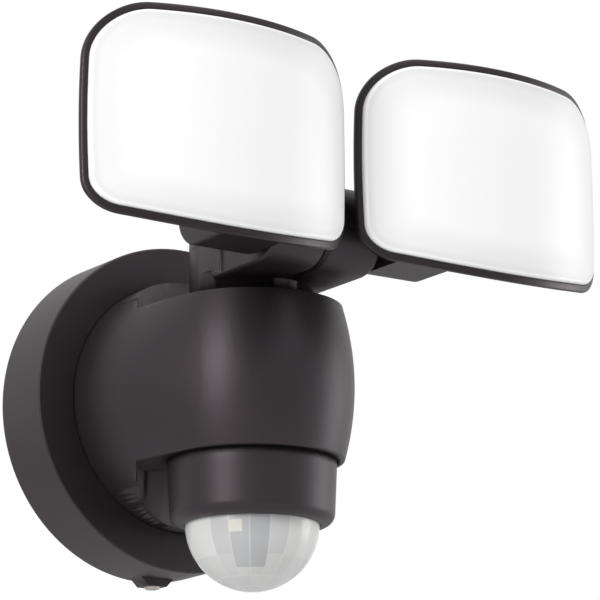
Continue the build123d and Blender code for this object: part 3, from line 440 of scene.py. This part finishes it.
def diffuser_surface(side):
    """Diffuser: a cap 2.2 mm thick. Its front stands 1.3 mm proud of the rim and rounds down over a radius
    of 1.1 mm into a flange that the rim holds. The border is a section of (inset, depth) in mm, and its two
    ends are drawn towards the middle. Returns the points and each ring's distance from the edge."""
    front = ([(8.0, -1.3), (6.0, -1.3)] + rounded((4.05, -0.2), 1.1, 270, 180, 9)
             + [(2.95, 1.35), (2.35, 1.35), (2.35, 2.5), (5.3, 2.5), (5.3, 0.9), (8.0, 0.9)])
    inward = np.linspace(0.02, 0.93, MIDDLE_RINGS)
    share = np.concatenate((inward, np.ones(len(front)), inward[::-1]))
    ring = np.array([front[0]] * MIDDLE_RINGS + front + [front[-1]] * MIDDLE_RINGS) / 1000
    away = ring[:, 0] + (1 - share) * (HALF_H - ring[0, 0])
    return bowed_rings(ring[:, 0], ring[:, 1], share, side), away


FADE_START, FADE_SPAN = 0.0029, 0.0353          # from a head's edge: where the painted shade's ramp begins, and its length


def opal(name):
    """Opal plastic with painted light in its colour: a painted shade, the rim's shadow as a slight grey that
    fades over some 15 mm from the edge, and a painted highlight that keeps the rounded border white."""
    material = grained(name, (0.93, 0.93, 0.93), mottle=0.004, cloud=0.008, grain=900.0, gloss=0.36,
                       spread=0.04, bump=0.04, depth=0.00004, edge=0.0003)
    tree = material.node_tree
    place = tree.nodes.new("ShaderNodeAttribute")
    place.attribute_name = "away"
    ramp = tree.nodes.new("ShaderNodeValToRGB")
    ramp.color_ramp.interpolation = "EASE"
    # painted highlight on the rounded border (white), then painted shade: grey near the edge, paler towards
    # the middle
    stops = ((0.0, 0.95), (0.014, 0.95), (0.045, 0.77), (0.14, 0.83), (0.42, 0.92))
    while len(ramp.color_ramp.elements) < len(stops):
        ramp.color_ramp.elements.new(0.5)
    for stop, (along, grey) in zip(ramp.color_ramp.elements, stops):
        stop.position = along
        stop.color = (grey, grey, grey, 1)
    group = next(node for node in tree.nodes if node.type == "GROUP")
    tree.links.new(place.outputs["Fac"], ramp.inputs[0])
    tree.links.new(ramp.outputs["Color"], group.inputs["Colour"])
    return material


head_coat = grained("head_powder_coat", (0.0125, 0.0098, 0.0104), mottle=0.2, cloud=0.06, grain=1500.0,
                    gloss=0.47, spread=0.1, bump=0.4, depth=0.00007, edge=0.0004, sheen=BROWN_SHEEN)
rim_plastic = grained("rim_plastic", (0.0108, 0.0088, 0.0094), mottle=0.14, grain=2000.0, gloss=0.37,
                      spread=0.08, bump=0.25, edge=0.0002, sheen=BROWN_SHEEN)
opal_plastic = opal("opal_diffuser")
white_board = printed("board_white", (0.8, 0.8, 0.78), (0.7, 0.7, 0.66), 120.0)
phosphor = grained("led_phosphor", (0.85, 0.66, 0.16), mottle=0.05, gloss=0.3)
for side, sign in (("right", 1), ("left", -1)):
    body = "head_" + side
    dressed("head_shell_" + side, head_coat, body, angle=18.0)
    dressed("led_board_" + side, white_board, body)
    dressed("leds_" + side, phosphor, body)
    rim_mesh = grid_mesh("head_rim_" + side, rim_surface(sign), loop=True)
    rim_mesh.materials.append(rim_plastic)
    rim_mesh.shade_smooth()
    rim_mesh.set_sharp_from_angle(angle=math.radians(32))
    rim = bpy.data.objects.new("head_rim_" + side, rim_mesh)
    points, away = diffuser_surface(sign)
    cap_mesh = grid_mesh("head_diffuser_" + side, points, caps=True)
    # distance from the edge, which sets the diffuser's painted edge shade
    fade = np.repeat((away - FADE_START) / FADE_SPAN, points.shape[1]).astype(np.float32)
    cap_mesh.attributes.new("away", "FLOAT", "POINT").data.foreach_set("value", fade)
    cap_mesh.materials.append(opal_plastic)
    cap_mesh.shade_smooth()
    cap_mesh.set_sharp_from_angle(angle=math.radians(40))
    cap = bpy.data.objects.new("head_diffuser_" + side, cap_mesh)
    for piece, node, slot in ((rim, "head_bezel_", "housing_plastic"), (cap, "head_lens_", "opal_lens")):
        bpy.context.scene.collection.objects.link(piece)
        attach(piece, body)
        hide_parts(node + side)

# ---- motion sensor inside --------------------------------------------------------------------------------
# Small board with the detector's steel can, a photocell, a choke and three setting pots. Each pot has a
# plastic dial that is turned from behind the collar.
can_steel = plated("detector_can", (0.62, 0.61, 0.58), 700.0, 0.1, 0.25)
pot_white = grained("pot_case", (0.7, 0.7, 0.66), mottle=0.05, gloss=0.4)
dial_grey = grained("dial_plastic", (0.075, 0.072, 0.07), mottle=0.1, gloss=0.42)
cell_amber = grained("photocell_face", (0.5, 0.25, 0.12), mottle=0.1, gloss=0.25)
for node, material, body, slot in (
        ("sensor_board", green_board, "sensor", "board_green"),
        ("sensor_pir", can_steel, "sensor", "pir_can"),
        ("sensor_photocell", cell_amber, "sensor", "photocell"),
        ("sensor_choke", can_dark, "sensor", "capacitor_can"),
        ("sensor_pots", pot_white, "sensor", "pot_case"),
        ("dial_time", dial_grey, "time_dial", "dial_plastic"),
        ("dial_light", dial_grey, "light_dial", "dial_plastic"),
        ("dial_range", dial_grey, "range_dial", "dial_plastic")):
    dressed(node, material, body)

# ---- sensor dome -----------------------------------------------------------------------------------------
# Milky polyethylene dome. Four tiers of facets, each a small lens, run round it, fewer towards the tip.
# Their seams are painted paler as fine upright lines and arcs, a painted highlight; every other facet is
# painted a little lighter, a painted shading; the facets in front of the detector are painted darker, a
# painted shade of the dark inside; and a small warm painted glint sits near the detector.
DOME_R = 0.0255
DOME_CENTRE = (0.0, -0.078, -0.0535)
FACETS = 20                 # round each of the two upper tiers
TIERS = (0.0, 0.0143, 0.0214, 0.0246)           # how far below the centre each tier begins
TIER_ROWS = (30, 20, 12, 12)                    # rows of faces in each tier
FACET_SWELL = 0.00009
WINDOW_AZIMUTH = -34.0      # degrees round the dome to the middle of the facets painted dark as shade
WINDOW_HALF = 18.0          # within so many degrees of it the dark goes on below the first tier,
WINDOW_END = 0.0186         # and ends this far below the centre
GLINT_TURN = (305.0, 318.0)  # the painted glint: degrees round the dome
GLINT_DEPTH = (0.0022, 0.0066)                   # and how far below the centre it lies


def dome_surface(around=360):
    """Grid over a half sphere of radius DOME_R below DOME_CENTRE, with a short upright wall above it:
    radius = DOME_R cos(dip) and depth = DOME_R sin(dip), with rows of equal dip inside each tier. Each
    facet is a lens that swells by FACET_SWELL as (1 - (2u - 1)^4) (1 - (2v - 1)^8), where u runs across it
    and v down it. Returns the points; the painted shade of each face's facet, from 0 for the dark painted
    in front of the detector's window to 1 for milk white; a mask along the seams for their painted
    highlight; and one over the painted glint."""
    angles = [math.asin(depth / DOME_R) for depth in TIERS] + [math.pi / 2]
    dip = np.concatenate([np.linspace(start, end, rows, endpoint=False)
                          for start, end, rows in zip(angles, angles[1:], TIER_ROWS)])
    dip = np.append(dip, math.pi / 2 - 0.004)
    wall = np.array((0.0023, 0.0015, 0.0008))
    z = np.concatenate((wall, -DOME_R * np.sin(dip)))
    ring = np.concatenate((np.full(len(wall), DOME_R), DOME_R * np.cos(dip)))
    tier = np.clip(np.searchsorted(TIERS, -z + 1e-6, side="right") - 1, 0, 3)
    turn = np.arange(around) * 360.0 / around
    step = 360.0 / FACETS * np.array((1.0, 1.0, 2.0, 4.0))[tier]
    across = (turn[None, :] / step[:, None]) % 1.0
    edge = np.array(TIERS + (DOME_R,))
    down = np.clip((-z - edge[tier]) / (edge[tier + 1] - edge[tier]), 0, 1)
    swell = (1 - (2 * across - 1) ** 4) * (1 - (2 * down[:, None] - 1) ** 8)
    radius = ring[:, None] - FACET_SWELL * (1 - swell) * (ring[:, None] > 0.0005)
    angle = np.radians(turn - 90.0)[None, :]
    points = np.stack((DOME_CENTRE[0] + radius * np.cos(angle), DOME_CENTRE[1] + radius * np.sin(angle),
                       DOME_CENTRE[2] + np.repeat(z[:, None], around, axis=1)), axis=-1)
    # painted highlight: the seams are painted paler than the facets
    seam = 0.5 * np.maximum(across < 0.5 / around, np.isin(-z, edge[1:4])[:, None] * np.ones(around))
    facet = np.floor((turn[None, :] + 0.5) / step[:, None])
    away = np.abs((facet * step[:, None] + step[:, None] / 2 - WINDOW_AZIMUTH + 180.0) % 360.0 - 180.0)
    lower = (tier[:, None] > 0) & ((-z[:, None] > WINDOW_END) | (away > WINDOW_HALF))
    # painted shade: facets facing the detector's window are painted darker, every other facet a little
    # lighter as painted shading, and the lower tiers away from the window a fixed grey
    tone = np.where(lower, 0.74, np.clip(0.16 + away / 62.0, 0, 0.92)) + 0.06 * (facet % 2)
    # painted glint: a small spot painted warm white
    glint_spot = (((turn > GLINT_TURN[0]) & (turn < GLINT_TURN[1]))[None, :]
             & ((-z > GLINT_DEPTH[0]) & (-z < GLINT_DEPTH[1]))[:, None])
    return points, tone[:-1], seam, glint_spot


points, tone, seam, glint_spot = dome_surface()
mesh = grid_mesh("sensor_dome", points)
mesh.attributes.new("tone", "FLOAT", "FACE").data.foreach_set("value", tone.ravel().astype(np.float32))
# seam marks where the painted highlight goes, window where the painted glint goes
for label, mask in (("seam", seam), ("window", glint_spot)):
    mesh.attributes.new(label, "FLOAT", "POINT").data.foreach_set("value", mask.ravel().astype(np.float32))
mesh.shade_smooth()
dome = bpy.data.objects.new("sensor_dome", mesh)
bpy.context.scene.collection.objects.link(dome)


def milky(name):
    """Milky lens plastic: part of the light goes through. Painted light in its colour: the facet tone runs
    from a bluish grey painted shade at the detector's window to milk white, the seams are painted paler as a
    painted highlight, and the painted glint is a warm white."""
    material = bpy.data.materials.new(name)
    material.use_nodes = True
    tree = material.node_tree
    shader = tree.nodes["Principled BSDF"]
    shader.inputs["Transmission Weight"].default_value = 0.25
    shader.inputs["IOR"].default_value = 1.45
    group = tree.nodes.new("ShaderNodeGroup")
    group.node_tree = spark_grain
    for label, value in (("Mottle", 0.02), ("Cloud", 0.12), ("Grain", 500.0), ("Gloss", 0.24),
                         ("Gloss spread", 0.05)):
        group.inputs[label].default_value = value
    shade = (0.45, 0.46, 0.49, 1)
    # painted colours: the seams' painted highlight and the "window" painted glint
    for label, pale in (("tone", (0.93, 0.93, 0.91, 1)), ("seam", (0.97, 0.97, 0.96, 1)),
                        ("window", (0.97, 0.95, 0.86, 1))):
        place = tree.nodes.new("ShaderNodeAttribute")
        place.attribute_name = label
        blend = tree.nodes.new("ShaderNodeMix")
        blend.data_type = "RGBA"
        blend.inputs["B"].default_value = pale
        if label == "tone":
            blend.inputs["A"].default_value = shade
        else:
            tree.links.new(shade, blend.inputs["A"])
        tree.links.new(place.outputs["Fac"], blend.inputs["Factor"])
        shade = blend.outputs["Result"]
    tree.links.new(shade, group.inputs["Colour"])
    tree.links.new(group.outputs["Colour"], shader.inputs["Base Color"])
    tree.links.new(group.outputs["Roughness"], shader.inputs["Roughness"])
    return material


mesh.materials.append(milky("lens_milky"))
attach(dome, "sensor")
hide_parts("sensor_lens")

# ---- studio ----------------------------------------------------------------------------------------------
# Pale floor and white surround. One soft lamp stands on the left, one on the right, and a wide one in front
# and above, all aimed at the middle of the light. The floor keeps a part of its own shade, and so a shadow.
FLOOR_Z = -0.42
FLOOR_HALF = 6.0
WHITE_SEEN, WHITE_MIRRORED = 0.7, 0.3           # share of plain white in the floor, direct and in reflections
floor_mesh = bpy.data.meshes.new("studio_floor")
corners = [(x * FLOOR_HALF, y * FLOOR_HALF, FLOOR_Z) for x, y in ((-1, -1), (1, -1), (1, 1), (-1, 1))]
floor_mesh.from_pydata(corners, [], [(0, 1, 2, 3)])
floor = bpy.data.objects.new("studio_floor", floor_mesh)
bpy.context.scene.collection.objects.link(floor)
paper = bpy.data.materials.new("floor_paper")
paper.use_nodes = True
tree = paper.node_tree
shader = tree.nodes["Principled BSDF"]
shader.inputs["Base Color"].default_value = (0.86, 0.86, 0.86, 1)
shader.inputs["Roughness"].default_value = 0.9
path = tree.nodes.new("ShaderNodeLightPath")
white = tree.nodes.new("ShaderNodeEmission")
white.inputs["Color"].default_value = (1, 1, 1, 1)
white.inputs["Strength"].default_value = 1.0
mirrored = math_node(tree, "ADD", path.outputs["Is Glossy Ray"], path.outputs["Is Transmission Ray"])
mirrored = math_node(tree, "MULTIPLY", mirrored, WHITE_MIRRORED)
shown = math_node(tree, "MULTIPLY_ADD", path.outputs["Is Camera Ray"], WHITE_SEEN, mirrored)
blend = tree.nodes.new("ShaderNodeMixShader")
tree.links.new(shown, blend.inputs[0])
tree.links.new(shader.outputs[0], blend.inputs[1])
tree.links.new(white.outputs[0], blend.inputs[2])
tree.links.new(blend.outputs[0], tree.nodes["Material Output"].inputs[0])
floor_mesh.materials.append(paper)

# The surround is white to the camera and gives a dimmer even light. Reflections, and light through the dome,
# see the white only on the far side of the object from the photograph's camera: white wall behind, dim room
# in front. TO_CAMERA is fixed in the room and doesn't follow the camera in other views.
GLOW = 0.42
TO_CAMERA = (-0.5495, -0.7990, -0.2433)
WHITE_NONE, WHITE_FULL = 0.2, -0.35             # along TO_CAMERA: where that white begins and is full
world = bpy.data.worlds.new("surround")
bpy.context.scene.world = world
world.use_nodes = True
tree = world.node_tree
tree.nodes.clear()
out = tree.nodes.new("ShaderNodeOutputWorld")
seen = tree.nodes.new("ShaderNodeBackground")
seen.inputs["Color"].default_value = (1, 1, 1, 1)
seen.inputs["Strength"].default_value = 1.0
glow = tree.nodes.new("ShaderNodeBackground")
glow.inputs["Color"].default_value = (1, 1, 1, 1)
glow.inputs["Strength"].default_value = GLOW
path = tree.nodes.new("ShaderNodeLightPath")
direction = tree.nodes.new("ShaderNodeVectorMath")
direction.operation = "DOT_PRODUCT"
direction.inputs[1].default_value = TO_CAMERA
tree.links.new(tree.nodes.new("ShaderNodeTexCoord").outputs["Generated"], direction.inputs[0])
behind = tree.nodes.new("ShaderNodeMapRange")
behind.interpolation_type = "SMOOTHSTEP"
behind.inputs["From Min"].default_value = WHITE_NONE
behind.inputs["From Max"].default_value = WHITE_FULL
tree.links.new(direction.outputs["Value"], behind.inputs["Value"])
mirrored = math_node(tree, "ADD", path.outputs["Is Glossy Ray"], path.outputs["Is Transmission Ray"])
mirrored = math_node(tree, "MULTIPLY", mirrored, behind.outputs["Result"])
shown = math_node(tree, "ADD", path.outputs["Is Camera Ray"], mirrored)
mix = tree.nodes.new("ShaderNodeMixShader")
tree.links.new(shown, mix.inputs[0])
tree.links.new(glow.outputs[0], mix.inputs[1])
tree.links.new(seen.outputs[0], mix.inputs[2])
tree.links.new(mix.outputs[0], out.inputs[0])


AIM = np.array((0.0, -0.07, 0.02))              # near the middle of the light


def softbox(name, azimuth, elevation, distance, width, height, power):
    """Area lamp aimed at AIM from that azimuth, where 0 is in front and negative is left, and elevation."""
    data = bpy.data.lights.new(name, "AREA")
    data.shape = "RECTANGLE"
    data.size = width
    data.size_y = height
    data.energy = power
    lamp = bpy.data.objects.new(name, data)
    a, e = math.radians(azimuth), math.radians(elevation)
    back = np.array((math.sin(a) * math.cos(e), -math.cos(a) * math.cos(e), math.sin(e)))
    right = np.array((math.cos(a), math.sin(a), 0.0))
    up = np.cross(back, right)
    place = AIM + back * distance
    lamp.matrix_world = Matrix([[right[i], up[i], back[i], place[i]] for i in range(3)] + [[0, 0, 0, 1]])
    bpy.context.scene.collection.objects.link(lamp)


softbox("key_left", -72.0, 14.0, 1.3, 0.32, 0.42, 8.5)
softbox("fill_right", 72.0, 2.0, 1.6, 0.6, 0.9, 6.5)
softbox("front_top", 6.0, 46.0, 1.6, 1.2, 0.7, 10.4)

# ---- camera ----------------------------------------------------------------------------------------------
# The photograph's place and angle, fitted to its outlines: low, and to the left of the light as seen from
# the room, with a long lens and a slight roll.
AZIMUTH, ELEVATION, ROLL = math.radians(-34.55), math.radians(-14.08), math.radians(-0.42)
CAMERA_PLACE = (-0.6742, -1.0900, -0.2711)
LENS, SENSOR = 195.66, 36.0                     # mm
back = np.array((math.sin(AZIMUTH) * math.cos(ELEVATION), -math.cos(AZIMUTH) * math.cos(ELEVATION),
                 math.sin(ELEVATION)))
flat_right = np.array((math.cos(AZIMUTH), math.sin(AZIMUTH), 0.0))
flat_up = np.cross(back, flat_right)
right = math.cos(ROLL) * flat_right + math.sin(ROLL) * flat_up
up = -math.sin(ROLL) * flat_right + math.cos(ROLL) * flat_up
camera_data = bpy.data.cameras.new("camera")
camera_data.sensor_width = SENSOR
camera_data.lens = LENS
camera_data.clip_start = 0.05
camera_data.clip_end = 50.0
camera = bpy.data.objects.new("camera", camera_data)
camera.matrix_world = Matrix([[right[i], up[i], back[i], CAMERA_PLACE[i]] for i in range(3)] + [[0, 0, 0, 1]])
bpy.context.scene.collection.objects.link(camera)
bpy.context.scene.camera = camera
bpy.context.scene.view_settings.view_transform = "Standard"

bpy.context.view_layer.update()
